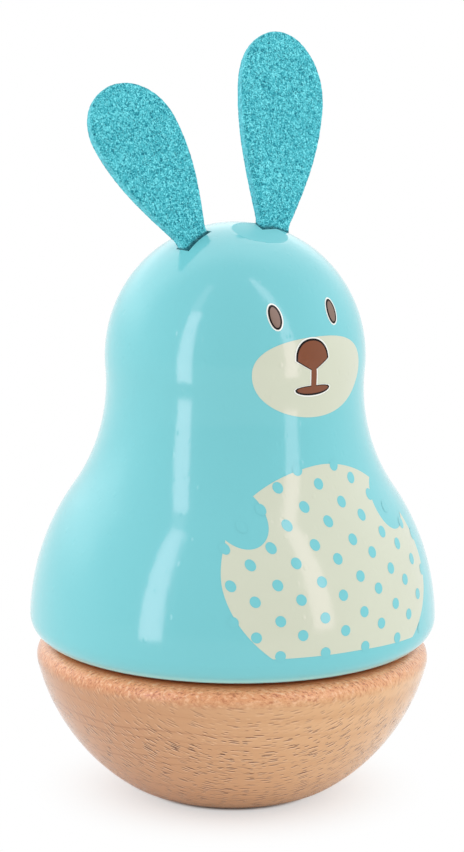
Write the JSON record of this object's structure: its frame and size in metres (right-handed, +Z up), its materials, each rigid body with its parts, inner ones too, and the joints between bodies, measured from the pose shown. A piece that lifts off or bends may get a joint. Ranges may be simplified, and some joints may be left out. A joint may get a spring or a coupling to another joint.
{
  "type": "wooden music box",
  "caption": "Pear-shaped wooden rabbit with felt ears that turns on a bowl-shaped beech base while the musical movement inside plays.",
  "frame": {"origin": "middle of the bowl's flat foot, on the turning axis", "axes": "+Z up along the turning axis, the face looks along -Y, left and right are as seen from the front"},
  "size_m": [0.09, 0.09, 0.1668],
  "materials": {
    "blue_lacquer": "light blue gloss lacquer on turned wood, with printed face and belly",
    "ear_felt": "thick teal felt, cut edges",
    "beech": "natural beech under clear satin lacquer",
    "plywood": "bare birch plywood",
    "wool_felt": "brown felt glide",
    "brass": "turned brass",
    "steel": "bright steel",
    "spring_steel": "blued spring steel",
    "zinc": "zinc die casting",
    "nylon": "moulded nylon"
  },
  "bodies": {
    "base": {"base_bowl": "beech", "glide_ring": "wool_felt", "key_insert": "brass", "jam_nut": "steel", "winding_arbor": "steel", "crown_wheel": "brass", "click_plate": "spring_steel", "arbor_clip": "spring_steel"},
    "figure": {"body": "blue_lacquer", "left_ear": "ear_felt", "right_ear": "ear_felt", "sound_board": "plywood", "board_screws": "steel", "bedplate": "zinc", "bedplate_screws": "steel", "arbor_bush": "brass", "spring_barrel": "steel", "barrel_rivets": "steel", "mainspring": "spring_steel", "comb": "steel", "comb_screws": "brass", "end_bracket": "zinc", "bracket_screws": "steel", "governor_stud": "steel", "governor_frame": "zinc", "governor_screws": "steel"},
    "cylinder": {"pin_cylinder": "brass", "cylinder_axle": "steel", "drive_pinion": "steel", "cylinder_gear": "brass"},
    "governor": {"governor_gear": "brass"},
    "air_brake": {"worm_spindle": "steel", "fan": "nylon"}
  },
  "joints": [
    {"name": "figure_turn", "type": "hinge", "parent": "base", "child": "figure", "pos_m": [0, 0, 0.0351], "axis": [0, 0, 1], "range_deg": [-1170, 0], "stiffness_Nm_per_rad": 0.0012},
    {"name": "cylinder_turn", "type": "hinge", "parent": "figure", "child": "cylinder", "pos_m": [0.0177, 0, 0.05418], "axis": [1, 0, 0], "continuous": true},
    {"name": "governor_turn", "type": "hinge", "parent": "figure", "child": "governor", "pos_m": [0.0246, 0.00639, 0.05185], "axis": [1, 0, 0], "continuous": true},
    {"name": "air_brake_turn", "type": "hinge", "parent": "figure", "child": "air_brake", "pos_m": [0.0254, 0.01159, 0.05185], "axis": [0, 0, 1], "continuous": true}
  ],
  "couplings": [
    {"joint": "cylinder_turn", "follows": "figure_turn", "ratio": -4},
    {"joint": "governor_turn", "follows": "figure_turn", "ratio": 13},
    {"joint": "air_brake_turn", "follows": "figure_turn", "ratio": -312}
  ]
}
